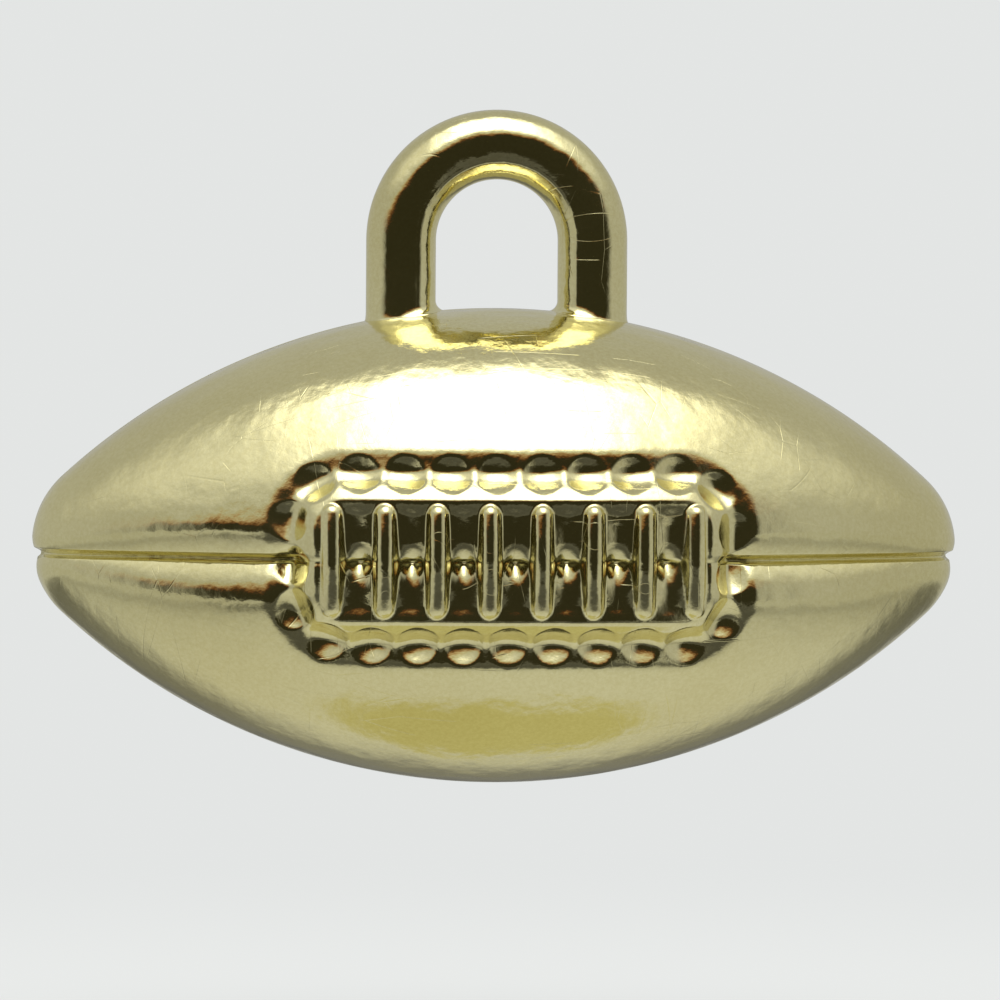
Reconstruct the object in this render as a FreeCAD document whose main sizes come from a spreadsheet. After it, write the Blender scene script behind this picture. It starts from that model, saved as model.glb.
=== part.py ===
import FreeCAD, Part
import math
import os

import Sketcher

# Football charm: a hollow ball moulded in two halves, with a hanging loop held between them.
# Frame: origin at the centre of the loop's eye, X along the ball, -Y to the laced front, Z up. Millimetres.

SIZES = {
    # Ball: a belly arc that runs tangent into a round nose at each end
    "ball_length": 32.2,
    "ball_diameter": 16.5,
    "nose_radius": 3.2,
    "wall": 1.4,
    # Seam: pillowed lips that roll into a narrow slit, a little below the middle of the ball
    "seam_drop": 0.3,
    "seam_half_width": 1.4,
    "seam_depth": 0.5,
    "slit_width": 0.24,
    "slit_depth": 0.15,
    # Lace patch: a raised oval, with a bed for the laces on top of it and a slot in the bed
    "patch_length": 15.2,
    "patch_width": 6.1,
    "patch_corner": 1.9,
    "patch_rise": 0.3,
    "bed_margin": 0.75,
    "bed_rise": 0.42,
    "slot_margin": 0.25,
    "slot_depth": 0.1,
    # Laces across the slot, and stitch pits round the edge of the patch
    "lace_count": 8,
    "lace_inset": 0.45,
    "lace_width": 0.8,
    "lace_end_gap": 0.1,
    "lace_rise": 0.55,
    "stitch_count": 25,
    "stitch_radius": 0.66,
    "stitch_depth": 0.35,
    # Joint between the halves: lip in a rebate, with a cement film between them, and two pegs
    "lip_height": 0.8,
    "lip_thickness": 0.5,
    "cement_film": 0.1,
    "lip_end_gap": 0.1,
    "peg_inset": 6.0,
    "peg_diameter": 1.2,
    "peg_length": 1.4,
    "peg_gap": 0.05,
    "boss_diameter": 2.6,
    # Hanging loop: a closed D ring with its bar trapped under the top wall
    "eye_width": 4.24,
    "eye_height": 4.45,
    "loop_stock": 2.43,
    "loop_gap": 0.05,
    "bar_gap": 0.35,
    "bar_bend": 1.6,
}

doc = FreeCAD.newDocument("football_charm")
sheet = doc.addObject("Spreadsheet::Sheet", "sizes")
for row, (alias, value) in enumerate(SIZES.items(), start=1):
    sheet.set(f"A{row}", alias)
    sheet.set(f"B{row}", str(value))
    sheet.setAlias(f"B{row}", alias)
doc.recompute()

X_AXIS = FreeCAD.Vector(1, 0, 0)
Y_AXIS = FreeCAD.Vector(0, 1, 0)
Z_AXIS = FreeCAD.Vector(0, 0, 1)


def size(alias):
    return float(sheet.get(alias))


# Values that follow from the driving sizes, as numbers and as expressions on the sheet
nose_x = size("ball_length") / 2 - size("nose_radius")
belly_arc = (nose_x**2 + (size("ball_diameter") / 2) ** 2 - size("nose_radius") ** 2) / (
    size("ball_diameter") - 2 * size("nose_radius")
)
arc_centre = belly_arc - size("ball_diameter") / 2
ball_z = -(size("eye_height") - size("eye_width") / 2 + size("ball_diameter") / 2)
leg_x = (size("eye_width") + size("loop_stock")) / 2
slot_inset = size("bed_margin") + size("slot_margin")
slot_half = size("patch_length") / 2 - slot_inset
slot_side = size("patch_width") / 2 - slot_inset
lace_pitch = 2 * (slot_half - size("lace_inset")) / (size("lace_count") - 1)
lace_reach = 2 * (slot_side - size("lace_end_gap"))

NOSE_X = "(sizes.ball_length / 2 - sizes.nose_radius)"
BELLY_ARC = (
    f"(({NOSE_X}^2 + (sizes.ball_diameter / 2)^2 - sizes.nose_radius^2)"
    " / (sizes.ball_diameter - 2 * sizes.nose_radius))"
)
ARC_CENTRE = f"({BELLY_ARC} - sizes.ball_diameter / 2)"
BALL_Z = "-(sizes.eye_height - sizes.eye_width / 2 + sizes.ball_diameter / 2)"
LACE_Z = f"{BALL_Z} - sizes.seam_drop"
LEG_X = "((sizes.eye_width + sizes.loop_stock) / 2)"
SLOT_HALF = "(sizes.patch_length / 2 - sizes.bed_margin - sizes.slot_margin)"
SLOT_SIDE = "(sizes.patch_width / 2 - sizes.bed_margin - sizes.slot_margin)"
LACE_PITCH = f"(2 * ({SLOT_HALF} - sizes.lace_inset) / (sizes.lace_count - 1))"
SEAM_LIP = (
    "(((sizes.seam_half_width - sizes.slit_width / 2)^2 + sizes.seam_depth^2) / (2 * sizes.seam_depth))"
)


def ball_radius(x):
    """Radius of the plain ball at a distance x along it."""
    if abs(x) > nose_x * belly_arc / math.hypot(nose_x, arc_centre):
        return math.sqrt(max(size("nose_radius") ** 2 - (abs(x) - nose_x) ** 2, 0.0))
    return math.sqrt(belly_arc**2 - x**2) - arc_centre


def ball_point(x, height, rise=0.0):
    """Point on the front of the ball, raised along the normal, in the frame of the part."""
    radius = ball_radius(x)
    flank = math.sqrt(max(radius**2 - height**2, 0.0))
    normal = FreeCAD.Vector(x, -flank * (radius + arc_centre) / radius, height * (radius + arc_centre) / radius)
    return FreeCAD.Vector(x, -flank, height + ball_z) + normal.normalize() * rise


def bind(thing, **expressions):
    for name, expression in expressions.items():
        thing.setExpression(name, expression)


def plane(body, role):
    return next(feature for feature in body.Origin.OriginFeatures if feature.Role == role)


def ball_body(name, level=BALL_Z):
    """Empty body with its own origin at the centre of the ball, or at the level of the seam."""
    body = doc.addObject("PartDesign::Body", name)
    body.setExpression("Placement.Base.z", level)
    return body


def sketch_on(body, role, name):
    sketch = body.newObject("Sketcher::SketchObject", name)
    sketch.AttachmentSupport = [(plane(body, role), "")]
    sketch.MapMode = "FlatFace"
    return sketch


def dimension(sketch, name, constraint, expression):
    index = sketch.addConstraint(constraint)
    sketch.renameConstraint(index, name)
    sketch.setExpression(f"Constraints.{name}", expression)


def pin_point(sketch, name, geometry, end, spot, expressions):
    """Fix one point of the sketch by its two distances from the origin, written as expressions."""
    for axis, value, expression in zip("XY", spot, expressions):
        kind = f"Distance{axis}"
        constraint = Sketcher.Constraint(kind, -1, 1, geometry, end, value)
        dimension(sketch, f"{name}_{axis.lower()}", constraint, expression)


def ball_profile(body, name, offset, offset_expression):
    """Half outline of the ball on its front side, grown by an offset and closed along the axis."""
    sketch = sketch_on(body, "XY_Plane", name)
    turn = math.atan2(-arc_centre, nose_x)
    nose = size("nose_radius") + offset
    belly = size("ball_diameter") / 2 + offset
    tip = nose_x + nose
    origin = FreeCAD.Vector(0, arc_centre, 0)
    sketch.addGeometry(
        [
            Part.ArcOfCircle(Part.Circle(origin, Z_AXIS, belly_arc + offset), -math.pi - turn, turn),
            Part.ArcOfCircle(Part.Circle(X_AXIS * nose_x, Z_AXIS, nose), turn, 0),
            Part.ArcOfCircle(Part.Circle(X_AXIS * -nose_x, Z_AXIS, nose), -math.pi, -math.pi - turn),
            Part.LineSegment(X_AXIS * tip, X_AXIS * -tip),
        ],
        False,
    )
    sketch.addGeometry(Part.Point(Y_AXIS * -belly), True)
    sketch.addConstraint(
        [
            Sketcher.Constraint("Tangent", 0, 2, 1, 1),
            Sketcher.Constraint("Coincident", 2, 2, 0, 1),
            Sketcher.Constraint("Coincident", 1, 2, 3, 1),
            Sketcher.Constraint("Coincident", 2, 1, 3, 2),
            Sketcher.Constraint("PointOnObject", 0, 3, -2),
            Sketcher.Constraint("Horizontal", 0, 1, 0, 2),
            Sketcher.Constraint("PointOnObject", 1, 3, -1),
            Sketcher.Constraint("PointOnObject", 1, 2, -1),
            Sketcher.Constraint("Symmetric", 1, 3, 2, 3, -2),
            Sketcher.Constraint("PointOnObject", 2, 1, -1),
            Sketcher.Constraint("PointOnObject", 4, 1, -2),
            Sketcher.Constraint("PointOnObject", 4, 1, 0),
        ]
    )
    dimension(sketch, "nose_reach", Sketcher.Constraint("DistanceX", -1, 1, 1, 3, nose_x), NOSE_X)
    nose_size = f"sizes.nose_radius + {offset_expression}"
    dimension(sketch, "nose_size", Sketcher.Constraint("Radius", 1, nose), nose_size)
    belly_size = f"sizes.ball_diameter / 2 + {offset_expression}"
    dimension(sketch, "belly_size", Sketcher.Constraint("DistanceY", 4, 1, -1, 1, belly), belly_size)
    return sketch


def revolve(body, kind, name, sketch, axis, angle, angle_expression=None):
    """Turn a sketch about an axis, half of the angle to each side of its plane."""
    feature = body.newObject(kind, name)
    feature.Profile = sketch
    feature.ReferenceAxis = axis
    feature.Midplane = True
    feature.Angle = angle
    if angle_expression:
        feature.setExpression("Angle", angle_expression)
    return feature


def grown_ball(name, offset, offset_expression):
    """Whole ball, grown by an offset: a tool for what follows the ball's surface."""
    body = ball_body(name)
    profile = ball_profile(body, f"{name}_profile", offset, offset_expression)
    revolve(body, "PartDesign::Revolution", f"{name}_turned", profile, (profile, ["H_Axis"]), 360)
    return body


def half_shell(name, turn):
    """Front half of the hollow ball, turned about Z for the rear one."""
    body = ball_body(name)
    body.Placement.Rotation = FreeCAD.Rotation(Z_AXIS, turn)
    outside = ball_profile(body, f"{name}_outside", 0.0, "0")
    revolve(body, "PartDesign::Revolution", f"{name}_turned", outside, (outside, ["H_Axis"]), 180)
    inside = ball_profile(body, f"{name}_inside", -size("wall"), "-sizes.wall")
    revolve(body, "PartDesign::Groove", f"{name}_cavity", inside, (inside, ["H_Axis"]), 180)
    return body


def seam_section(body, role, name, surface, surface_expression, axis, axis_expression, outward):
    """Section of the seam: two lips that roll in from the ball's surface to a slit, open to the outside."""
    sketch = sketch_on(body, role, name)
    half = size("seam_half_width")
    slit = size("slit_width") / 2
    lip = ((half - slit) ** 2 + size("seam_depth") ** 2) / (2 * size("seam_depth"))
    depths = (size("nose_radius") / -2, 0.0, size("seam_depth"), size("seam_depth") + size("slit_depth"))
    depth_words = ("-sizes.nose_radius / 2", "0", "sizes.seam_depth", "sizes.seam_depth + sizes.slit_depth")
    corners = [(0, half), (1, half), (2, slit), (3, slit), (3, -slit), (2, -slit), (1, -half), (0, -half)]
    spots = [(surface - outward * depths[level], across) for level, across in corners]
    points = [FreeCAD.Vector(along, across, 0) for along, across in spots]
    for index, start in enumerate(points):
        end = points[(index + 1) % len(points)]
        if index in (1, 5):
            centre_across = half if index == 1 else -half
            centre = FreeCAD.Vector(surface - outward * lip, centre_across, 0)
            circle = Part.Circle(centre, Z_AXIS, lip)
            first, last = circle.parameter(start), circle.parameter(end)
            if (last - first) % (2 * math.pi) > math.pi:
                first, last = last, first
            sketch.addGeometry(Part.ArcOfCircle(circle, first, last), False)
        else:
            sketch.addGeometry(Part.LineSegment(start, end), False)
    ends = []
    for index, start in enumerate(points):
        first = sketch.Geometry[index].StartPoint
        ends.append((1, 2) if first.distanceToPoint(start) < 1e-6 else (2, 1))
    for index in range(len(points)):
        following = (index + 1) % len(points)
        joined = Sketcher.Constraint("Coincident", index, ends[index][1], following, ends[following][0])
        sketch.addConstraint(joined)
    sign = "-" if outward > 0 else "+"
    across_words = {half: "sizes.seam_half_width", slit: "sizes.slit_width / 2"}
    for index, (level, across) in enumerate(corners):
        words = across_words[abs(across)]
        along_expression = f"{surface_expression} {sign} ({depth_words[level]})"
        across_expression = words if across > 0 else f"-({words})"
        expressions = (along_expression, across_expression)
        pin_point(sketch, f"corner_{index}", index, ends[index][0], spots[index], expressions)
    for index in (1, 5):
        dimension(sketch, f"lip_{index}", Sketcher.Constraint("Radius", index, lip), SEAM_LIP)
    low = FreeCAD.Vector(axis, -half, 0)
    high = FreeCAD.Vector(axis, half, 0)
    turning = sketch.addGeometry(Part.LineSegment(low, high), True)
    pin_point(sketch, "axis_low", turning, 1, (axis, -half), (axis_expression, "-sizes.seam_half_width"))
    pin_point(sketch, "axis_high", turning, 2, (axis, half), (axis_expression, "sizes.seam_half_width"))
    return sketch


def seam_cutter(name, turn):
    """Cutter for the seam of one half: along the belly, then round each nose to the joint face."""
    body = ball_body(name, LACE_Z)
    body.Placement.Rotation = FreeCAD.Rotation(Z_AXIS, turn)
    belly = size("ball_diameter") / 2
    nose_turn = math.degrees(math.atan2(arc_centre, nose_x))
    front = seam_section(
        body, "YZ_Plane", f"{name}_belly", -belly, "-sizes.ball_diameter / 2", arc_centre, ARC_CENTRE, -1
    )
    belly_angle = f"2 * atan({NOSE_X} / {ARC_CENTRE})"
    revolve(
        body, "PartDesign::Revolution", f"{name}_run", front, (front, ["Axis0"]), 180 - 2 * nose_turn, belly_angle
    )
    tip = size("ball_length") / 2
    nose_angle = f"2 * atan({ARC_CENTRE} / {NOSE_X})"
    for side, word in ((1, "right"), (-1, "left")):
        mark = "" if side > 0 else "-"
        section = seam_section(
            body, "XZ_Plane", f"{name}_{word}", side * tip, f"{mark}sizes.ball_length / 2",
            side * nose_x, f"{mark}{NOSE_X}", side,
        )
        revolve(
            body, "PartDesign::Revolution", f"{name}_{word}_run", section, (section, ["Axis0"]),
            2 * nose_turn, nose_angle,
        )
    return body


def oval_prism(name, length, width, corner):
    """Rounded oblong seen from the front, padded from the joint plane out past the front of the ball."""
    body = ball_body(name, LACE_Z)
    sketch = sketch_on(body, "XZ_Plane", f"{name}_outline")
    half_x, half_y, radius = (entry[0] for entry in (length, width, corner))
    inner_x = half_x - radius
    inner_y = half_y - radius
    corners = [(inner_x, -inner_y), (inner_x, inner_y), (-inner_x, inner_y), (-inner_x, -inner_y)]
    for index, (x, y) in enumerate(corners):
        start = (index - 1) * math.pi / 2
        circle = Part.Circle(FreeCAD.Vector(x, y, 0), Z_AXIS, radius)
        sketch.addGeometry(Part.ArcOfCircle(circle, start, start + math.pi / 2), False)
    for index in range(4):
        start = sketch.Geometry[index].EndPoint
        end = sketch.Geometry[(index + 1) % 4].StartPoint
        sketch.addGeometry(Part.LineSegment(start, end), False)
    for index in range(4):
        sketch.addConstraint(Sketcher.Constraint("Tangent", index, 2, index + 4, 1))
        sketch.addConstraint(Sketcher.Constraint("Tangent", index + 4, 2, (index + 1) % 4, 1))
    x_word, y_word, radius_word = (entry[1] for entry in (length, width, corner))
    for index, (x, y) in enumerate(corners):
        x_mark = "" if x > 0 else "-"
        y_mark = "" if y > 0 else "-"
        words = (f"{x_mark}({x_word} - {radius_word})", f"{y_mark}({y_word} - {radius_word})")
        pin_point(sketch, f"corner_{index}", index, 3, (x, y), words)
    dimension(sketch, "corner_radius", Sketcher.Constraint("Radius", 0, radius), radius_word)
    pad = body.newObject("PartDesign::Pad", f"{name}_pad")
    pad.Profile = sketch
    pad.setExpression("Length", "sizes.ball_diameter")
    return body


def combine(kind, name, base, tools):
    """Part::Cut, Part::Common or Part::MultiFuse of a base with one or more tools."""
    result = doc.addObject(kind, name)
    if kind == "Part::MultiFuse":
        result.Shapes = [base, *tools]
        return result
    tool = tools[0]
    if len(tools) > 1:
        tool = doc.addObject("Part::Compound", f"{name}_tools")
        tool.Links = list(tools)
    result.Base = base
    result.Tool = tool
    return result


def cylinder(name, radius, length, place, direction):
    rod = doc.addObject("Part::Cylinder", name)
    bind(rod, Radius=radius, Height=length)
    rod.Placement = FreeCAD.Placement(place, FreeCAD.Rotation(Z_AXIS, direction))
    return rod


def slab(name, depth):
    """Block in front of the joint plane, wide enough for the whole ball."""
    block = doc.addObject("Part::Box", name)
    bind(block, Length="2 * sizes.ball_length", Width=depth, Height="2 * sizes.ball_diameter")
    bind(block, **{"Placement.Base.x": "-sizes.ball_length", "Placement.Base.y": f"-({depth})"})
    block.setExpression("Placement.Base.z", f"{BALL_Z} - sizes.ball_diameter")
    return block


# Shells and the grown balls that follow them
front_shell = half_shell("front_shell", 0)
rear_shell = half_shell("rear_shell", 180)
cavity_ball = grown_ball("cavity_ball", -size("wall"), "-sizes.wall")
lip_offset = size("lip_thickness") - size("wall")
lip_ball = grown_ball("lip_ball", lip_offset, "sizes.lip_thickness - sizes.wall")
rebate_offset = lip_offset + size("cement_film")
rebate_ball = grown_ball("rebate_ball", rebate_offset, "sizes.lip_thickness + sizes.cement_film - sizes.wall")
mid_ball = grown_ball("mid_ball", -size("wall") / 2, "-sizes.wall / 2")
patch_ball = grown_ball("patch_ball", size("patch_rise"), "sizes.patch_rise")
bed_ball = grown_ball("bed_ball", size("bed_rise"), "sizes.bed_rise")
slot_ball = grown_ball("slot_ball", -size("slot_depth"), "-sizes.slot_depth")

# Seam, front and rear
front_seam = seam_cutter("front_seam", 0)
rear_seam = seam_cutter("rear_seam", 180)

# Lace patch, bed and slot
patch_half = (size("patch_length") / 2, "sizes.patch_length / 2")
patch_side = (size("patch_width") / 2, "sizes.patch_width / 2")
patch_corner = (size("patch_corner"), "sizes.patch_corner")
patch_prism = oval_prism("patch_prism", patch_half, patch_side, patch_corner)
margin = size("bed_margin")
bed_prism = oval_prism(
    "bed_prism",
    (patch_half[0] - margin, f"({patch_half[1]} - sizes.bed_margin)"),
    (patch_side[0] - margin, f"({patch_side[1]} - sizes.bed_margin)"),
    (patch_corner[0] - margin, f"({patch_corner[1]} - sizes.bed_margin)"),
)
slot_prism = oval_prism(
    "slot_prism",
    (slot_half, SLOT_HALF),
    (slot_side, SLOT_SIDE),
    (size("lace_width") / 2, "sizes.lace_width / 2"),
)
patch_block = combine("Part::Common", "patch_block", patch_prism, [patch_ball])
patch = combine("Part::Cut", "patch", patch_block, [mid_ball])
bed_block = combine("Part::Common", "bed_block", bed_prism, [bed_ball])
bed = combine("Part::Cut", "bed", bed_block, [mid_ball])
slot = combine("Part::Cut", "slot", slot_prism, [slot_ball])

# Laces: round bars bent over the slot, with round ends
laces = []
lace_rows = int(size("lace_count"))
for index in range(lace_rows):
    step = index - (lace_rows - 1) / 2
    lace_x = step * lace_pitch
    bend = ball_radius(lace_x) + size("lace_rise") - size("lace_width") / 2
    swing = math.degrees((lace_reach - size("lace_width")) / bend)
    tilt = math.degrees(math.asin(size("seam_drop") / bend))
    bar = doc.addObject("Part::Torus", f"lace_{index + 1}")
    local_radius = f"(sqrt({BELLY_ARC}^2 - ({step} * {LACE_PITCH})^2) - {ARC_CENTRE})"
    bend_expression = f"{local_radius} + sizes.lace_rise - sizes.lace_width / 2"
    bind(bar, Radius1=bend_expression, Radius2="sizes.lace_width / 2")
    bar.Angle3 = swing
    aim = FreeCAD.Rotation(X_AXIS, tilt - 90 - swing / 2) * FreeCAD.Rotation(Y_AXIS, 90)
    bar.Placement = FreeCAD.Placement(FreeCAD.Vector(lace_x, 0, ball_z), aim)
    laces.append(bar)
    for side in (-1, 1):
        lean = math.radians(side * swing / 2 - tilt)
        end = doc.addObject("Part::Sphere", f"lace_{index + 1}_end")
        bind(end, Radius="sizes.lace_width / 2")
        spot = FreeCAD.Vector(lace_x, -bend * math.cos(lean), ball_z + bend * math.sin(lean))
        end.Placement = FreeCAD.Placement(spot, FreeCAD.Rotation(X_AXIS, -math.degrees(lean)))
        laces.append(end)


def oval_point(distance, half_x, half_y, radius):
    """Point at a distance along a rounded oblong, counted from the middle of its lower side."""
    straight_x = half_x - radius
    straight_y = half_y - radius
    quarter = radius * math.pi / 2
    runs = (straight_x, quarter, 2 * straight_y, quarter, 2 * straight_x, quarter, 2 * straight_y, quarter)
    left = distance % (4 * straight_x + 4 * straight_y + 4 * quarter)
    heading = 0.0
    x, y = 0.0, -half_y
    for index, run in enumerate((*runs, straight_x)):
        part = min(left, run)
        if index % 2 == 0:
            x += part * math.cos(heading)
            y += part * math.sin(heading)
        else:
            turn = part / radius
            x += radius * (math.sin(heading + turn) - math.sin(heading))
            y -= radius * (math.cos(heading + turn) - math.cos(heading))
            heading += turn
        left -= part
        if left <= 0:
            break
    return x, y


# Stitch pits, evenly spaced round the foot of the patch
stitches = []
stitch_total = int(size("stitch_count"))
oval_run = 4 * (patch_half[0] + patch_side[0]) - (8 - 2 * math.pi) * patch_corner[0]
for index in range(stitch_total):
    x, across = oval_point(oval_run * index / stitch_total, patch_half[0], patch_side[0], patch_corner[0])
    pit = doc.addObject("Part::Sphere", f"stitch_{index + 1}")
    bind(pit, Radius="sizes.stitch_radius")
    rise = size("stitch_radius") - size("stitch_depth")
    spot = ball_point(x, across - size("seam_drop"), rise)
    pit.Placement = FreeCAD.Placement(spot, FreeCAD.Rotation(Z_AXIS, -Y_AXIS))
    stitches.append(pit)

# Locating pegs on bosses inside the shells
peg_x = size("ball_length") / 2 - size("peg_inset")
front_bosses = []
rear_bosses = []
pegs = []
sockets = []
for side in (-1, 1):
    place = FreeCAD.Vector(side * peg_x, 0, ball_z)
    boss_size = ("sizes.boss_diameter / 2", "sizes.ball_diameter / 2")
    front_boss = cylinder("front_boss", *boss_size, place, -Y_AXIS)
    rear_boss = cylinder("rear_boss", *boss_size, place, Y_AXIS)
    front_bosses.append(combine("Part::Common", "front_boss_fit", front_boss, [mid_ball]))
    rear_bosses.append(combine("Part::Common", "rear_boss_fit", rear_boss, [mid_ball]))
    root = place + Y_AXIS * size("wall")
    pegs.append(cylinder("peg", "sizes.peg_diameter / 2", "sizes.peg_length + sizes.wall", root, -Y_AXIS))
    socket_size = ("sizes.peg_diameter / 2 + sizes.peg_gap", "sizes.peg_length + sizes.peg_gap")
    sockets.append(cylinder("socket", *socket_size, place, -Y_AXIS))

# Holes for the legs of the loop, half in each shell
leg_holes = []
for side in (-1, 1):
    place = FreeCAD.Vector(side * leg_x, 0, ball_z)
    leg_holes.append(cylinder("leg_hole", "sizes.loop_stock / 2 + sizes.loop_gap", "sizes.ball_diameter", place, Z_AXIS))

# Lip of the rear half, its rebate in the front half and the cement between them
lip_slab = slab("lip_slab", "sizes.lip_height")
rebate_slab = slab("rebate_slab", "sizes.lip_height + sizes.lip_end_gap")
lip_block = combine("Part::Common", "lip_block", lip_ball, [lip_slab])
lip = combine("Part::Cut", "lip", lip_block, [cavity_ball])
rebate_block = combine("Part::Common", "rebate_block", rebate_ball, [rebate_slab])
rebate = combine("Part::Cut", "rebate", rebate_block, [cavity_ball])
film_block = combine("Part::Common", "film_block", rebate_ball, [lip_slab])
film = combine("Part::Cut", "film", film_block, [lip_ball])

# Front half
front_core = combine("Part::MultiFuse", "front_core", front_shell, [patch, bed])
front_open = combine("Part::Cut", "front_open", front_core, [slot])
front_seamed = combine("Part::Cut", "front_seamed", front_open, [front_seam])
front_laced = combine("Part::MultiFuse", "front_laced", front_seamed, laces)
front_stitched = combine("Part::Cut", "front_stitched", front_laced, stitches)
front_rebated = combine("Part::Cut", "front_rebated", front_stitched, [rebate])
front_bossed = combine("Part::MultiFuse", "front_bossed", front_rebated, front_bosses)
front_half = combine("Part::Cut", "front_half", front_bossed, [*sockets, *leg_holes])

# Rear half
rear_core = combine("Part::MultiFuse", "rear_core", rear_shell, [lip, *rear_bosses, *pegs])
rear_seamed = combine("Part::Cut", "rear_seamed", rear_core, [rear_seam])
rear_half = combine("Part::Cut", "rear_half", rear_seamed, leg_holes)

# Cement film, left out between the legs of the loop
between_legs = doc.addObject("Part::Box", "between_legs")
bind(between_legs, Length=f"2 * {LEG_X}", Width="sizes.ball_diameter", Height="sizes.ball_diameter")
between_legs.Placement.Base = FreeCAD.Vector(-leg_x, -size("ball_diameter"), ball_z)
joint_cement = combine("Part::Cut", "joint_cement", film, [*leg_holes, between_legs])

# Hanging loop: crown, two legs, two bends and the bar inside the ball
bar_z = ball_z + size("ball_diameter") / 2 - size("wall") - size("bar_gap") - size("loop_stock") / 2
BAR_DROP = "(sizes.eye_height - sizes.eye_width / 2 + sizes.wall + sizes.bar_gap + sizes.loop_stock / 2)"
STOCK = "sizes.loop_stock / 2"
crown = doc.addObject("Part::Torus", "crown")
bind(crown, Radius1=LEG_X, Radius2=STOCK)
crown.Angle3 = 180
crown.Placement.Rotation = FreeCAD.Rotation(X_AXIS, 90)
loop_runs = []
bend_z = bar_z + size("bar_bend")
for side in (-1, 1):
    leg_place = FreeCAD.Vector(side * leg_x, 0, bend_z)
    loop_runs.append(cylinder("leg", STOCK, f"{BAR_DROP} - sizes.bar_bend", leg_place, Z_AXIS))
    bend = doc.addObject("Part::Torus", "bend")
    bind(bend, Radius1="sizes.bar_bend", Radius2=STOCK)
    bend.Angle3 = 90
    start = 180 if side < 0 else 90
    aim = FreeCAD.Rotation(Y_AXIS, start) * FreeCAD.Rotation(X_AXIS, 90)
    corner = FreeCAD.Vector(side * (leg_x - size("bar_bend")), 0, bend_z)
    bend.Placement = FreeCAD.Placement(corner, aim)
    loop_runs.append(bend)
bar_start = FreeCAD.Vector(-(leg_x - size("bar_bend")), 0, bar_z)
loop_runs.append(cylinder("bar", STOCK, f"2 * ({LEG_X} - sizes.bar_bend)", bar_start, X_AXIS))
hanging_loop = combine("Part::MultiFuse", "hanging_loop", crown, loop_runs)

doc.recompute()
for thing in doc.Objects:
    if "Invalid" in thing.State or "Error" in thing.State:
        raise RuntimeError(f"{thing.Label} did not compute")

os.makedirs("parts", exist_ok=True)
for piece in (front_half, rear_half, joint_cement, hanging_loop):
    if piece.Shape.isNull() or not piece.Shape.isValid() or len(piece.Shape.Solids) != 1:
        raise RuntimeError(f"{piece.Label} is not one valid solid")
    piece.Shape.exportStep(f"parts/{piece.Label}.step")
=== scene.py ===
import math

import bmesh
import bpy
from mathutils import Matrix, Vector


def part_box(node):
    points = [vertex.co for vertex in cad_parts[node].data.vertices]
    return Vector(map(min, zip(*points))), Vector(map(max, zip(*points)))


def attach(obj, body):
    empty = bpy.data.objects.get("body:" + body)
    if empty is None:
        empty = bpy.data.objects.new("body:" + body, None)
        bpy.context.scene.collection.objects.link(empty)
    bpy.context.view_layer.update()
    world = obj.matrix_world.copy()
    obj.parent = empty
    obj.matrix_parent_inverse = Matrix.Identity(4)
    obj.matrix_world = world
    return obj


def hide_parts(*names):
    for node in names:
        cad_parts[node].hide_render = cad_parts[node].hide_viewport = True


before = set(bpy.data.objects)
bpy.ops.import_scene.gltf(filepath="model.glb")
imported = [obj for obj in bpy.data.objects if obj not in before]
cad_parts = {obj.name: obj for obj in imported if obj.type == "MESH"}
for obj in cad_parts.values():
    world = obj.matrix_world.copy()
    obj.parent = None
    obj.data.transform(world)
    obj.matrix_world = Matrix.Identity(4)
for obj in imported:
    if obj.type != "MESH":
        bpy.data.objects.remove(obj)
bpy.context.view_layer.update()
scene = bpy.context.scene
scene.view_settings.view_transform = "Standard"
MM = 0.001


# The ball is moulded in two thin plastic halves that meet on the outline seen from the front. The front half
# carries the laces, and a pillowed seam runs round both from nose to nose. One tree makes either half from a
# grid: the outline turned about the ball's axis, raised or sunk along its normals, and lined by a wall.
class Wire:
    """A node socket, or a bare tree, that Python expressions extend with nodes."""

    def __init__(self, tree, socket=None):
        self.tree = tree
        self.socket = socket

    def node(self, kind, settings=None, inputs=None, output=0):
        made = self.tree.nodes.new(kind)
        for name, value in (settings or {}).items():
            setattr(made, name, value)
        for key, value in (inputs or {}).items():
            if isinstance(value, Wire):
                self.tree.links.new(value.socket, made.inputs[key])
            else:
                made.inputs[key].default_value = value
        return Wire(self.tree, made.outputs[output])

    def maths(self, operation, *terms):
        return self.node("ShaderNodeMath", {"operation": operation}, dict(enumerate(terms)))

    def __add__(self, other):
        return self.maths("ADD", self, other)

    def __radd__(self, other):
        return self.maths("ADD", other, self)

    def __sub__(self, other):
        return self.maths("SUBTRACT", self, other)

    def __rsub__(self, other):
        return self.maths("SUBTRACT", other, self)

    def __mul__(self, other):
        return self.maths("MULTIPLY", self, other)

    def __rmul__(self, other):
        return self.maths("MULTIPLY", other, self)

    def __truediv__(self, other):
        return self.maths("DIVIDE", self, other)

    def __rtruediv__(self, other):
        return self.maths("DIVIDE", other, self)

    def __neg__(self):
        return self.maths("MULTIPLY", self, -1.0)

    def __abs__(self):
        return self.maths("ABSOLUTE", self)

    def at_least(self, other):
        return self.maths("MAXIMUM", self, other)

    def at_most(self, other):
        return self.maths("MINIMUM", self, other)

    def below(self, other):
        return self.maths("LESS_THAN", self, other)

    def root(self):
        return self.maths("SQRT", self.maths("MAXIMUM", self, 0.0))

    def fade(self, start, end):
        """0 at start and 1 at end, with a smooth run between them; start may be the larger."""
        settings = {"interpolation_type": "SMOOTHSTEP", "clamp": True}
        return self.node("ShaderNodeMapRange", settings, {0: self, 1: start, 2: end, 3: 0.0, 4: 1.0})

    def parts(self):
        """The X, Y and Z of a vector."""
        split = self.node("ShaderNodeSeparateXYZ", {}, {"Vector": self}).socket.node
        return [Wire(self.tree, socket) for socket in split.outputs]


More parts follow.
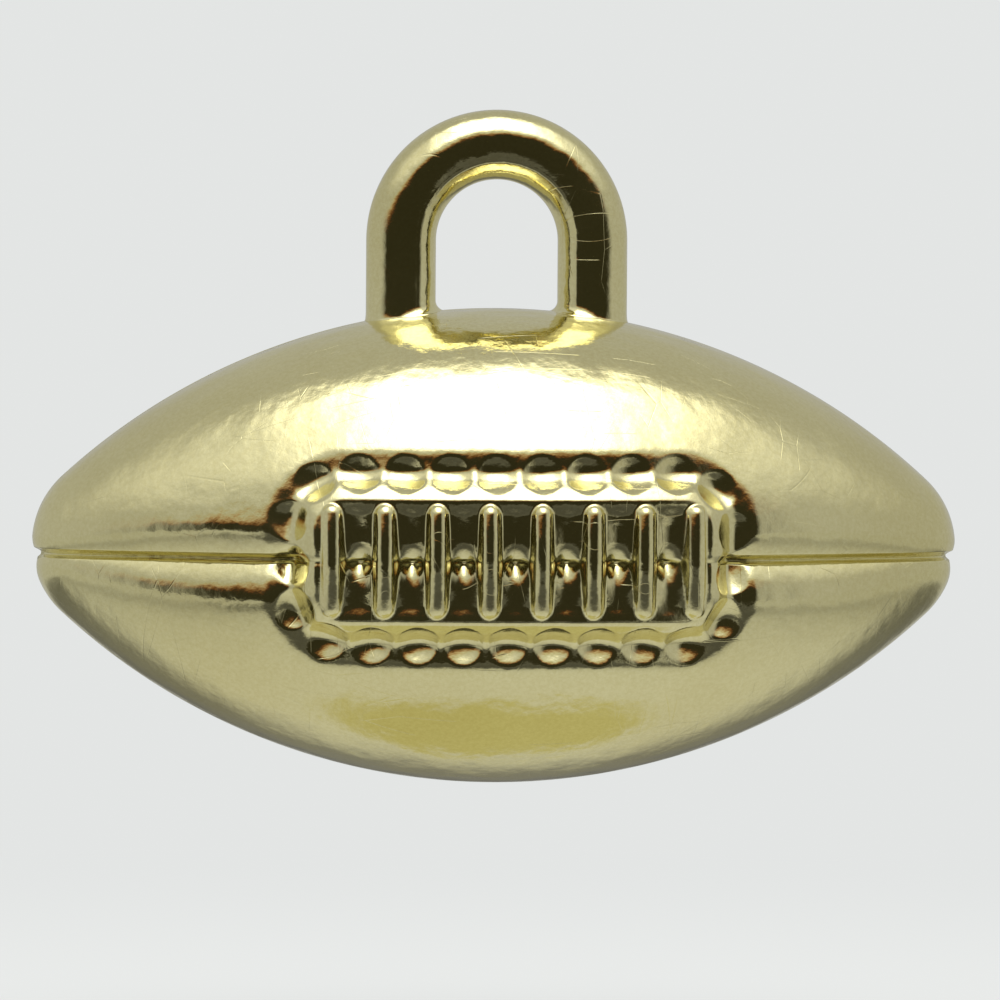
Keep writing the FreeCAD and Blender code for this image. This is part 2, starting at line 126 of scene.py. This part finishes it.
# Sizes of the ball in millimetres, then its counts and the rows of its grid
ball_low, ball_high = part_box("rear_half")
ball_axis_height = (ball_low[2] + ball_high[2]) / 2
BALL_SIZES = {
    "Length": 32.2,
    "Diameter": (ball_high[2] - ball_low[2]) / MM,
    "Axis height": ball_axis_height / MM,
    "Nose radius": 3.2,
    "Seam drop": 0.3,
    "Upper lip width": 1.3,
    "Upper lip depth": 0.4,
    "Lower lip width": 2.0,
    "Lower lip depth": 0.7,
    "Slit width": 0.24,
    "Slit depth": 0.15,
    "Patch length": 15.2,
    "Patch width": 5.8,
    "Patch corner": 1.9,
    "Patch rise": 0.3,
    "Bed margin": 0.75,
    "Bed rise": 0.36,
    "Slot length": 13.2,
    "Slot width": 4.1,
    "Slot depth": -0.26,
    "Valley depth": 0.08,
    "Groove depth": 0.18,
    "Groove half width": 0.95,
    "Lace pitch": 1.757,
    "Lace width": 0.8,
    "Lace reach": 3.9,
    "Lace rise": 0.55,
    "Lace foot": 0.3,
    "Stitch radius": 0.72,
    "Stitch depth": 0.18,
    "Rim chamfer": 0.035,
    "Wall": 1.4,
}
LACE_COUNT = 8
STITCH_COUNT = 25
ALONG_STEPS = 418
OUTER_ROWS = 216
INNER_ROWS = 20
LAST_ROW = OUTER_ROWS + INNER_ROWS

# Millimetres over which one form of the relief runs into the next, each from its start to its end
NOSE_TAPER = (11.0, 16.0)
SLOT_TAPER = (7.2, 6.2)
LIP_CHANGE = (0.08, -0.08)
PATCH_EDGE = (0.3, -0.7)
BED_EDGE = (0.12, -0.18)
SLOT_EDGE = (0.10, -0.55)
UNDERSIDE = (0.5, -1.5)
VALLEY_END = (1.9, 1.0)
RIM_EDGE = (0.09, 0.0)
SOFT_JOIN = 0.12

# Shares: where the grid is denser, what the seam's lips lose at the noses and between the laces, and what the
# groove and the stitch pits gain on the patch's underside
STEP_CROWDING = 0.3
ROW_CROWDING = 0.55
NOSE_WIDTH_LOSS = 0.5
NOSE_DEPTH_LOSS = 0.65
UPPER_WIDTH_LOSS = 0.45
LOWER_WIDTH_LOSS = 0.38
UPPER_DEPTH_LOSS = 0.40
LOWER_DEPTH_LOSS = 0.36
SLIT_EDGE = (0.8, 0.3)
GROOVE_GAIN = 0.8
STITCH_GAIN = 0.55
SLOT_FLATTENING = 0.3
FRAME_SEAM_LOSS = 0.8
LACE_GAP = (0.18, 0.5)
LACE_FALL = 6.0
CORNER_POINTS = 24
WELD = 1e-7


def half_ball_tree(finish):
    """Geometry Nodes tree for one half of the ball, in millimetres until its last step."""
    tree = bpy.data.node_groups.new("half_ball", "GeometryNodeTree")
    sockets = {}
    for name, value in (*BALL_SIZES.items(), ("Laced", 1.0), ("Facing", 1.0)):
        item = tree.interface.new_socket(name, in_out="INPUT", socket_type="NodeSocketFloat")
        item.default_value = value
        sockets[name] = item.identifier
    tree.interface.new_socket("Half", in_out="OUTPUT", socket_type="NodeSocketGeometry")
    given = tree.nodes.new("NodeGroupInput")
    size = {name: Wire(tree, given.outputs[name]) for name in sockets}
    bare = Wire(tree)

    # Rows of the grid: over the outside from rim to rim, back along the inner wall, then the first rim again
    counts = {"Vertices X": ALONG_STEPS, "Vertices Y": LAST_ROW + 1}
    grid = bare.node("GeometryNodeMeshGrid", {}, {"Size X": 2.0, "Size Y": 2.0, **counts}, "Mesh")
    along, across_grid, _ = bare.node("GeometryNodeInputPosition").parts()
    passed = (across_grid + 1.0) * (LAST_ROW / 2)
    row = passed.maths("ROUND", passed)
    outside = row.below(OUTER_ROWS - 0.5)
    closing = 1.0 - row.below(LAST_ROW - 0.5)
    inside = 1.0 - outside - closing
    outer_run = row * (2 / (OUTER_ROWS - 1)) - 1.0
    inner_run = 1.0 - (row - OUTER_ROWS) * (2 / (INNER_ROWS - 1))
    around = outside * outer_run + inside * inner_run - closing

    # The two flat lands between outside and inner wall stay flat; all other faces are shaded smooth
    first_land = abs(passed - (OUTER_ROWS - 0.5)).below(0.25)
    last_land = (LAST_ROW - passed).below(0.75)
    smooth = {"Geometry": grid, "Shade Smooth": 1.0 - first_land - last_land}
    shaded = bare.node("GeometryNodeSetShadeSmooth", {}, smooth)

    # Outline: a belly arc that runs tangent into a nose arc, walked by its length and denser at the laces
    belly = size["Diameter"] / 2.0
    nose = size["Nose radius"]
    nose_x = size["Length"] / 2.0 - nose
    arc = (nose_x * nose_x + belly * belly - nose * nose) / (2.0 * (belly - nose))
    arc_centre = arc - belly
    arc_turn = bare.maths("ARCTAN2", nose_x, arc_centre)
    belly_run = arc * arc_turn
    half_run = belly_run + nose * (math.pi / 2 - arc_turn)
    walked = half_run * ((1.0 - STEP_CROWDING) * along + STEP_CROWDING * along * along * along)
    distance = abs(walked)
    side = walked.maths("SIGN", walked)
    on_belly = distance.below(belly_run)
    belly_turn = distance / arc
    nose_turn = arc_turn + (distance - belly_run) / nose
    turn = on_belly * belly_turn + (1.0 - on_belly) * nose_turn
    sine = turn.maths("SINE", turn)
    cosine = turn.maths("COSINE", turn)
    x = side * (on_belly * arc * sine + (1.0 - on_belly) * (nose_x + nose * sine))
    radius = (on_belly * (arc * cosine - arc_centre) + (1.0 - on_belly) * nose * cosine).at_least(0.0)
    around_fifth = around * around * around * around * around
    swing = (math.pi / 2) * (around + (1.0 - inside) * ROW_CROWDING * (around_fifth - around))
    swing_sine = swing.maths("SINE", swing)
    swing_cosine = swing.maths("COSINE", swing)
    height = radius * swing_sine + size["Seam drop"]
    level = abs(height)

    # Seam: two lips that roll in to a slit, the lower one fuller, both slighter at the noses and the laces
    at_nose = abs(x).fade(*NOSE_TAPER)
    at_slot = abs(x).fade(*SLOT_TAPER) * size["Laced"]
    lower = height.fade(*LIP_CHANGE)
    lip_width = size["Upper lip width"] + lower * (size["Lower lip width"] - size["Upper lip width"])
    lip_depth = size["Upper lip depth"] + lower * (size["Lower lip depth"] - size["Upper lip depth"])
    width_loss = UPPER_WIDTH_LOSS - (UPPER_WIDTH_LOSS - LOWER_WIDTH_LOSS) * lower
    depth_loss = UPPER_DEPTH_LOSS - (UPPER_DEPTH_LOSS - LOWER_DEPTH_LOSS) * lower
    lip_width = lip_width * (1.0 - NOSE_WIDTH_LOSS * at_nose - width_loss * at_slot)
    lip_depth = lip_depth * (1.0 - NOSE_DEPTH_LOSS * at_nose - depth_loss * at_slot)
    roll = (1.0 - level / lip_width).at_least(0.0)
    slit = (level / size["Slit width"]).fade(*SLIT_EDGE)
    seam = -1.0 * (lip_depth * roll * roll + size["Slit depth"] * slit * (1.0 - at_slot))

    # Patch, bed and slot: rounded oblongs measured by their distance from the edge
    def edge(half_x, half_y, corner):
        over_x = abs(x) - (half_x - corner)
        over_y = level - (half_y - corner)
        out_x = over_x.at_least(0.0)
        out_y = over_y.at_least(0.0)
        return (out_x * out_x + out_y * out_y).root() + over_x.at_least(over_y).at_most(0.0) - corner

    half_lace = size["Lace width"] / 2.0
    slot_side = size["Slot width"] / 2.0
    patch_edge = edge(size["Patch length"] / 2.0, size["Patch width"] / 2.0, size["Patch corner"])
    bed_edge = patch_edge + size["Bed margin"]
    slot_edge = edge(size["Slot length"] / 2.0, slot_side, half_lace)
    on_patch = patch_edge.fade(*PATCH_EDGE)
    on_bed = bed_edge.fade(*BED_EDGE)
    in_slot = slot_edge.fade(*SLOT_EDGE)
    raised = size["Patch rise"] * on_patch + (size["Bed rise"] - size["Patch rise"]) * on_bed
    off_groove = patch_edge / size["Groove half width"]
    groove = (1.0 - off_groove * off_groove).at_least(0.0)
    underside = height.fade(*UNDERSIDE)
    sunk = size["Groove depth"] * (1.0 + GROOVE_GAIN * underside)
    raised = raised - sunk * groove * groove
    in_frame = (on_patch - in_slot).at_least(0.0)
    bulge = (slot_side * slot_side - height * height).at_least(0.0) / radius.at_least(1.0)
    flattened = SLOT_FLATTENING * bulge
    stepped = raised * (1.0 - in_slot) - (size["Slot depth"] + flattened) * in_slot

    # Laces: round bars across the slot, one to each pitch, with the slot's floor dished between them
    last_lace = (LACE_COUNT - 1) / 2
    pitch = size["Lace pitch"]
    nearest = (x / pitch - 0.5).maths("ROUND", x / pitch - 0.5) + 0.5
    nearest = nearest.at_least(-last_lace).at_most(last_lace)
    across = x - nearest * pitch
    beyond = (level - (size["Lace reach"] / 2.0 - half_lace)).at_least(0.0)
    off_lace = (across * across + beyond * beyond) / (half_lace * half_lace)
    bar_foot = -1.0 * size["Slot depth"] - size["Lace foot"]
    bar_round = (size["Lace rise"] - bar_foot) * (1.0 - off_lace).root()
    bar = bar_foot + bar_round - LACE_FALL * (off_lace - 1.0).at_least(0.0)
    between = (abs(across) / pitch).fade(*LACE_GAP)
    valley = between * level.fade(*VALLEY_END) * size["Valley depth"]
    seam_share = (1.0 - FRAME_SEAM_LOSS * in_frame) * (1.0 - in_slot * (1.0 - between))
    slot_floor = stepped + seam * seam_share - valley * in_slot
    laced = bare.maths("SMOOTH_MAX", slot_floor, bar, SOFT_JOIN)

    # Stitch pits: shallow bowls at evenly spaced points round the foot of the patch, deeper on its underside
    oblong = {"Width": size["Patch length"], "Height": size["Patch width"]}
    oval = bare.node("GeometryNodeCurvePrimitiveQuadrilateral", {"mode": "RECTANGLE"}, oblong)
    corners = {"Curve": oval, "Radius": size["Patch corner"], "Count": CORNER_POINTS, "Limit Radius": True}
    rounded = bare.node("GeometryNodeFilletCurve", {"mode": "POLY"}, corners)
    stitched = {"Curve": rounded, "Count": STITCH_COUNT}
    spaced = bare.node("GeometryNodeResampleCurve", {"mode": "COUNT"}, stitched)
    points = bare.node("GeometryNodeCurveToPoints", {"mode": "EVALUATED"}, {"Curve": spaced})
    seen_flat = bare.node("ShaderNodeCombineXYZ", {}, {"X": x, "Y": height})
    stitches = {0: points, "Sample Position": seen_flat}
    proximity = bare.node("GeometryNodeProximity", {"target_element": "POINTS"}, stitches, "Distance")
    off_pit = proximity / size["Stitch radius"]
    bowl = bare.maths("SMOOTH_MAX", 1.0 - off_pit * off_pit, 0.0, SOFT_JOIN)
    pitted = laced - size["Stitch depth"] * (1.0 + STITCH_GAIN * underside) * bowl

    # Rim: both halves are broken back a little where they meet
    rim = (radius * swing_cosine).fade(*RIM_EDGE) * size["Rim chamfer"]
    skin = size["Laced"] * pitted + (1.0 - size["Laced"]) * seam - rim
    rise = (1.0 - inside) * skin - inside * size["Wall"]

    grown = radius + cosine * rise
    out_x = size["Facing"] * (x + side * sine * rise)
    out_y = -1.0 * size["Facing"] * grown * swing_cosine
    out_z = size["Axis height"] + grown * swing_sine
    spot = bare.node("ShaderNodeCombineXYZ", {}, {"X": MM * out_x, "Y": MM * out_y, "Z": MM * out_z})
    shaped = bare.node("GeometryNodeSetPosition", {}, {"Geometry": shaded, "Position": spot})
    closed = bare.node("GeometryNodeMergeByDistance", {}, {"Geometry": shaped, "Distance": WELD})
    real = bare.node("GeometryNodeRealizeInstances", {}, {"Geometry": closed})
    painted = bare.node("GeometryNodeSetMaterial", {}, {"Geometry": real, "Material": finish})
    result = tree.nodes.new("NodeGroupOutput")
    tree.links.new(painted.socket, result.inputs["Half"])
    return tree, sockets


def gold_lacquer(name):
    """Metallised plastic under pale gold lacquer: a mirror with orange peel, hairlines and handling haze."""
    material = bpy.data.materials.new(name)
    material.use_nodes = True
    tree = material.node_tree
    shader = tree.nodes["Principled BSDF"]
    bare = Wire(tree)
    spot = bare.node("ShaderNodeTexCoord", output="Object")

    def noise(scale, detail, roughness=0.5):
        """Soft blotches, about scale of them to the metre."""
        inputs = {"Vector": spot, "Scale": scale, "Detail": detail, "Roughness": roughness}
        return bare.node("ShaderNodeTexNoise", {}, inputs)

    def hairlines(turn, stretch, scale, width):
        """Thin straight scuffs: the cell edges of a stretched pattern."""
        laid = bare.node("ShaderNodeMapping", {}, {"Vector": spot, "Rotation": turn, "Scale": stretch})
        settings = {"feature": "DISTANCE_TO_EDGE"}
        cells = bare.node("ShaderNodeTexVoronoi", settings, {"Vector": laid, "Scale": scale})
        return cells.fade(width, 0.0)

    # Scuffs are kept only here and there
    kept = noise(330.0, 2.0).fade(0.53, 0.60)
    kept_more = noise(410.0, 1.0).fade(0.55, 0.60)
    scuffs = hairlines((0.3, 0.5, 0.9), (1.0, 0.12, 0.3), 900.0, 0.010) * kept
    scuffs = scuffs + hairlines((0.2, -0.7, -0.5), (0.1, 1.0, 1.0), 800.0, 0.008) * kept_more
    scuffs = scuffs.at_most(1.0)
    grain = noise(5200.0, 3.0, 0.6)

    # Colour: the lacquer's thickness varies over the ball, with a fine mottle in it
    deep_gold = (0.74, 0.67, 0.34, 1.0)
    pale_gold = (0.88, 0.825, 0.48, 1.0)
    mottle = noise(7000.0, 2.0, 0.7).fade(0.25, 0.75)
    tone = 0.5 * noise(120.0, 3.0).fade(0.3, 0.7) + 0.5 * mottle
    colours = {"Factor": tone, "A": deep_gold, "B": pale_gold}
    tint = bare.node("ShaderNodeMix", {"data_type": "RGBA"}, colours, "Result")
    tree.links.new(tint.socket, shader.inputs["Base Color"])
    shader.inputs["Metallic"].default_value = 1.0

    # Gloss: near a mirror, duller where it was handled or scuffed
    smudge = noise(260.0, 5.0, 0.65).fade(0.46, 0.72)
    roughness = 0.08 + 0.06 * smudge + 0.05 * scuffs + 0.03 * grain
    tree.links.new(roughness.socket, shader.inputs["Roughness"])

    # Relief: slow ripples of the moulding, orange peel of the lacquer, grain and scuffs
    ripple = noise(170.0, 2.0)
    swell = noise(430.0, 2.0)
    peel = noise(900.0, 2.0)
    relief = 1.3 * ripple + 1.0 * swell + 0.75 * peel + 0.10 * grain - 0.05 * scuffs
    bump = bare.node("ShaderNodeBump", {}, {"Height": relief, "Strength": 1.0, "Distance": 0.00006})
    tree.links.new(bump.socket, shader.inputs["Normal"])
    return material


shell_finish = gold_lacquer("gold_shell")
ball_tree, ball_inputs = half_ball_tree(shell_finish)


def half_ball(name, laced, facing):
    """One half of the ball as a plain mesh made by the tree."""
    carrier = bpy.data.objects.new(name + "_carrier", bpy.data.meshes.new(name + "_carrier"))
    scene.collection.objects.link(carrier)
    modifier = carrier.modifiers.new("half_ball", "NODES")
    modifier.node_group = ball_tree
    modifier[ball_inputs["Laced"]] = laced
    modifier[ball_inputs["Facing"]] = facing
    bpy.context.view_layer.update()
    evaluated = carrier.evaluated_get(bpy.context.evaluated_depsgraph_get())
    mesh = bpy.data.meshes.new_from_object(evaluated)
    mesh.name = name
    bpy.data.objects.remove(carrier)
    piece = bpy.data.objects.new(name, mesh)
    scene.collection.objects.link(piece)
    return piece


front_skin = half_ball("front_half_skin", 1.0, 1.0)
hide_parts("front_half")
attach(front_skin, "root")


# The rear half is the same moulding without the laces, cemented to the front half all round its rim.
# Nothing of its back shows in the photograph; the seam is carried round it.
rear_skin = half_ball("rear_half_skin", 0.0, -1.0)
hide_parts("rear_half")
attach(rear_skin, "root")


# The hanging loop is a closed D ring of moulded plastic stock, a little flattened in front, with its bar
# trapped under the ball's top wall. A mould witness line runs along its inner front edge, and lacquer rounds
# the inside of each foot.
LOOP_BEND = 1.6 * MM
FOOT_FILLET = 0.36 * MM
OUTER_FOOT_SHARE = 0.12
INNER_FOOT_START = -0.05
INNER_FOOT_RUN = 0.8
BELLY_ARC = 22.2 * MM
WITNESS_TURN = math.radians(31)
WITNESS_HALF_WIDTH = math.radians(3.5)
WITNESS_RISE = 0.02 * MM
FACE_HALF_TURN = math.radians(29)
FACE_LEAN = math.radians(2)
FACE_SHARE = 0.38
FACE_START = -0.7
FACE_RUN = 0.6
FACE_OVERLAP = 0.05
SECTION_STEPS = 96
CROWN_STEPS = 96
LEG_STEPS = 120
BEND_STEPS = 16

loop_low, loop_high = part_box("hanging_loop")
loop_stock = (loop_high[1] - loop_low[1]) / 2


def loop_path():
    """Middle line of the loop, each point with the turn of its outward side."""
    crown = loop_high[0] - loop_stock
    leg = loop_low[2] + loop_stock + LOOP_BEND

    def sweep(middle, reach, start, end, steps):
        turns = [start + (end - start) * step / steps for step in range(steps + 1)]
        return [(middle + reach * Vector((math.cos(turn), 0, math.sin(turn))), turn) for turn in turns]

    down = [leg * step / LEG_STEPS for step in range(1, LEG_STEPS)]
    path = sweep(Vector((0, 0, 0)), crown, 0.0, math.pi, CROWN_STEPS)
    path += [(Vector((-crown, 0, depth)), math.pi) for depth in down]
    path += sweep(Vector((LOOP_BEND - crown, 0, leg)), LOOP_BEND, math.pi, 1.5 * math.pi, BEND_STEPS)
    path += sweep(Vector((crown - LOOP_BEND, 0, leg)), LOOP_BEND, 1.5 * math.pi, 2 * math.pi, BEND_STEPS)
    path += [(Vector((crown, 0, depth)), 2 * math.pi) for depth in reversed(down)]
    return path


def loop_point(spot, outward, angle):
    """A point of the loop's skin; the angle runs from the front towards the eye."""
    direction = Vector((0, -math.cos(angle), 0)) - outward * math.sin(angle)
    line = max(0.0, 1.0 - abs(angle - WITNESS_TURN) / WITNESS_HALF_WIDTH)
    lean = math.remainder(angle, 2 * math.pi)
    flat = min(1.0, math.cos(FACE_HALF_TURN) / max(0.1, math.cos(lean - FACE_LEAN)))
    held = FACE_SHARE * min(1.0, max(0.0, (lean - FACE_START) / FACE_RUN))
    if lean >= WITNESS_TURN + FACE_OVERLAP:
        held = 0.0
    point = spot + direction * (loop_stock * (1.0 - held * (1.0 - flat)) + WITNESS_RISE * line)
    ball_radius = math.sqrt(BELLY_ARC**2 - point.x**2) - BELLY_ARC + (ball_high[2] - ball_low[2]) / 2
    clear = math.hypot(point.y, point.z - ball_axis_height) - ball_radius
    if -FOOT_FILLET < clear < FOOT_FILLET:
        inner = min(1.0, max(0.0, (math.sin(angle) - INNER_FOOT_START) / INNER_FOOT_RUN))
        flare = FOOT_FILLET - math.sqrt(FOOT_FILLET**2 - (FOOT_FILLET - max(clear, 0.0)) ** 2)
        point += direction * flare * (OUTER_FOOT_SHARE + (1.0 - OUTER_FOOT_SHARE) * inner)
    return point


def hanging_loop(finish):
    shape = bmesh.new()
    rings = []
    for spot, turn in loop_path():
        outward = Vector((math.cos(turn), 0, math.sin(turn)))
        angles = [2 * math.pi * step / SECTION_STEPS for step in range(SECTION_STEPS)]
        rings.append([shape.verts.new(loop_point(spot, outward, angle)) for angle in angles])
    for index, ring in enumerate(rings):
        following = rings[(index + 1) % len(rings)]
        for step in range(SECTION_STEPS):
            after = (step + 1) % SECTION_STEPS
            face = shape.faces.new((ring[step], following[step], following[after], ring[after]))
            face.smooth = True
    bmesh.ops.recalc_face_normals(shape, faces=shape.faces)
    mesh = bpy.data.meshes.new("hanging_loop_skin")
    shape.to_mesh(mesh)
    shape.free()
    mesh.materials.append(finish)
    piece = bpy.data.objects.new("hanging_loop_skin", mesh)
    scene.collection.objects.link(piece)
    return piece


loop_skin = hanging_loop(gold_lacquer("gold_loop"))
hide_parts("hanging_loop")
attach(loop_skin, "root")


# The cement is a clear cured film in the lap between the halves. The CAD solid has its shape already,
# so it only gets its finish.
def clear_cement():
    material = bpy.data.materials.new("clear_cement")
    material.use_nodes = True
    tree = material.node_tree
    shader = tree.nodes["Principled BSDF"]
    bare = Wire(tree)
    spot = bare.node("ShaderNodeTexCoord", output="Object")
    cloud = bare.node("ShaderNodeTexNoise", {}, {"Vector": spot, "Scale": 700.0, "Detail": 3.0})
    colours = {"Factor": cloud, "A": (0.80, 0.77, 0.64, 1.0), "B": (0.90, 0.88, 0.78, 1.0)}
    tint = bare.node("ShaderNodeMix", {"data_type": "RGBA"}, colours, "Result")
    tree.links.new(tint.socket, shader.inputs["Base Color"])
    shader.inputs["Roughness"].default_value = 0.25
    return material


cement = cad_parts["joint_cement"]
cement.data.materials.clear()
cement.data.materials.append(clear_cement())


# Studio: a pale floor a little below the hanging charm, a softbox overhead and pale surroundings. The gold
# mirrors them as a tan floor with painted shade and a painted yellow bounce of gold light on it, a bright
# patch for the softbox, and a dark band in front for an unlit room.
PALE = (0.770, 0.785, 0.777, 1.0)
FLOOR_DROP = 9.0 * MM
FLOOR_REACH = 1.6
FLOOR_FRONT = -0.085
TAN = (0.615, 0.615, 0.58)
# What each channel of the mirrored tan loses in the painted yellow bounce of gold light under the charm
PAINTED_BOUNCE_LOSS = (0.09, 0.12, 0.31)
ROOM_TINT = (1.0, 1.0, 0.97)
BAND_DARKNESS = (0.935, 0.94, 0.965)
BAND_EDGES = ((0.45, 0.25), (0.50, 0.28), (0.55, 0.30))


def pale_floor():
    level = ball_low[2] - FLOOR_DROP
    left, right, front, back = -FLOOR_REACH, FLOOR_REACH, FLOOR_FRONT, FLOOR_REACH
    corners = [(left, front, level), (right, front, level), (right, back, level), (left, back, level)]
    mesh = bpy.data.meshes.new("floor")
    mesh.from_pydata(corners, [], [(0, 1, 2, 3)])
    material = bpy.data.materials.new("pale_floor")
    material.use_nodes = True
    tree = material.node_tree
    bare = Wire(tree)
    aside, behind, _ = bare.node("ShaderNodeTexCoord", output="Object").parts()
    away = (aside * aside + behind * behind).root()

    # Mirrored tone, seen by mirror rays only: painted shade, darker away from the charm, behind it and in
    # front of it, and a painted yellow bounce of gold light right under it
    # Painted bounce light: a yellow patch right under the charm, where gold light would fall on the floor
    painted_gold_bounce = (0.3 * aside * aside + (behind + 0.003) * (behind + 0.003)).root().fade(0.0062, 0.0040)
    shade = (1.0 - 0.48 * away.fade(0.010, 0.055)) * (1.0 - 0.62 * behind.fade(0.001, 0.013))
    near = away.fade(0.075, 0.035)
    shade = near * shade + 0.75 * (1.0 - near)
    # Painted shade on the mirrored floor in front of the charm
    before = (-behind).fade(0.024, 0.040) * abs(aside).fade(0.065, 0.030)
    shade = shade * (1.0 - 0.78 * before)
    channels = [tone * shade - loss * painted_gold_bounce for tone, loss in zip(TAN, PAINTED_BOUNCE_LOSS)]
    tan = bare.node("ShaderNodeCombineColor", {}, dict(enumerate(channels)))

    # The camera sees the pale colour with the charm's shadow in it; mirror rays see the tan with its painted
    # shade and painted bounce light
    path = tree.nodes.new("ShaderNodeLightPath")
    seen = Wire(tree, path.outputs["Is Camera Ray"])
    mirrored = Wire(tree, path.outputs["Is Glossy Ray"])
    diffuse = bare.node("ShaderNodeBsdfDiffuse", {}, {"Color": PALE})
    colours = {"Factor": mirrored, "A": PALE, "B": tan}
    colour = bare.node("ShaderNodeMix", {"data_type": "RGBA"}, colours, "Result")
    glow = bare.node("ShaderNodeEmission", {}, {"Color": colour, "Strength": 1.0})
    share = seen * (0.85 + 0.15 * away.fade(0.02, 0.10)) + mirrored
    mixed = bare.node("ShaderNodeMixShader", {}, {0: share, 1: diffuse, 2: glow})
    tree.links.new(mixed.socket, tree.nodes["Material Output"].inputs["Surface"])
    mesh.materials.append(material)
    floor = bpy.data.objects.new("floor", mesh)
    scene.collection.objects.link(floor)


pale_floor()


def surroundings():
    world = bpy.data.worlds.new("studio")
    scene.world = world
    world.use_nodes = True
    tree = world.node_tree
    bare = Wire(tree)
    aside, back, upward = bare.node("ShaderNodeTexCoord", output="Generated").parts()
    forward = -back

    # Light: an even room, brighter above and in front, with the softbox in it
    box = upward.fade(0.46, 0.76) * abs(aside - 0.04).fade(0.80, 0.15) * forward.fade(-0.30, 0.02)
    light = 0.47 + 0.36 * upward.fade(0.3, 0.7) * forward.fade(-0.4, 0.3) + 2.6 * box * box

    # Dark band: in front only, its upper edge lower on the left and warm, since blue darkens first
    level_x = aside / (aside * aside + forward * forward).root().at_least(0.001)
    in_front = forward.fade(-0.05, 0.15) * level_x.fade(0.92, 0.52) * level_x.fade(-0.99, -0.75)
    raised = upward + 0.22 * (-level_x).at_least(0.0)
    channels = []
    for tint, darkness, band_edge in zip(ROOM_TINT, BAND_DARKNESS, BAND_EDGES):
        channels.append(tint * light * (1.0 - darkness * in_front * raised.fade(*band_edge)))
    room = bare.node("ShaderNodeCombineColor", {}, dict(enumerate(channels)))

    seen = bare.node("ShaderNodeLightPath", output="Is Camera Ray")
    colours = {"Factor": seen, "A": room, "B": PALE}
    colour = bare.node("ShaderNodeMix", {"data_type": "RGBA"}, colours, "Result")
    tree.links.new(colour.socket, tree.nodes["Background"].inputs["Color"])


surroundings()


def softbox(name, place, target, size_x, size_y, power):
    light = bpy.data.lights.new(name, "AREA")
    light.shape = "RECTANGLE"
    light.size = size_x
    light.size_y = size_y
    light.energy = power
    lamp = bpy.data.objects.new(name, light)
    scene.collection.objects.link(lamp)
    lamp.location = place
    lamp.rotation_euler = (Vector(target) - Vector(place)).to_track_quat("-Z", "Y").to_euler()
    lamp.visible_glossy = False


softbox("overhead", (0.0, -0.10, 0.24), (0.0, -0.0999, 0.0), 0.42, 0.24, 0.38)


# Camera: the photograph's, a little to the left and above, with a long lens and a slight roll.
# It is aimed so that the middle of the ball falls on its pixel in the photograph.
PHOTO_SIDE = 1000
BALL_PIXEL = (495, 545)
MM_PER_PIXEL = 32.0 / 920
AZIMUTH = math.radians(-5.0)
ELEVATION = math.radians(1.6)
ROLL = math.radians(0.35)
DISTANCE = 0.34
camera_data = bpy.data.cameras.new("camera")
camera_data.sensor_width = 36.0
camera_data.lens = camera_data.sensor_width * DISTANCE / (PHOTO_SIDE * MM_PER_PIXEL * MM)
camera_data.clip_start = 0.01
look_x = -math.sin(AZIMUTH) * math.cos(ELEVATION)
look_y = math.cos(AZIMUTH) * math.cos(ELEVATION)
look = Vector((look_x, look_y, -math.sin(ELEVATION)))
level_right = look.cross(Vector((0, 0, 1))).normalized()
level_up = level_right.cross(look)
right = level_right * math.cos(ROLL) + level_up * math.sin(ROLL)
up = level_up * math.cos(ROLL) - level_right * math.sin(ROLL)
aim = Vector((0, 0, ball_axis_height))
aim += right * (PHOTO_SIDE / 2 - BALL_PIXEL[0]) * MM_PER_PIXEL * MM
aim += up * (BALL_PIXEL[1] - PHOTO_SIDE / 2) * MM_PER_PIXEL * MM
camera = bpy.data.objects.new("camera", camera_data)
scene.collection.objects.link(camera)
turned = Matrix((right, up, -look)).transposed().to_4x4()
camera.matrix_world = Matrix.Translation(aim - look * DISTANCE) @ turned
scene.camera = camera
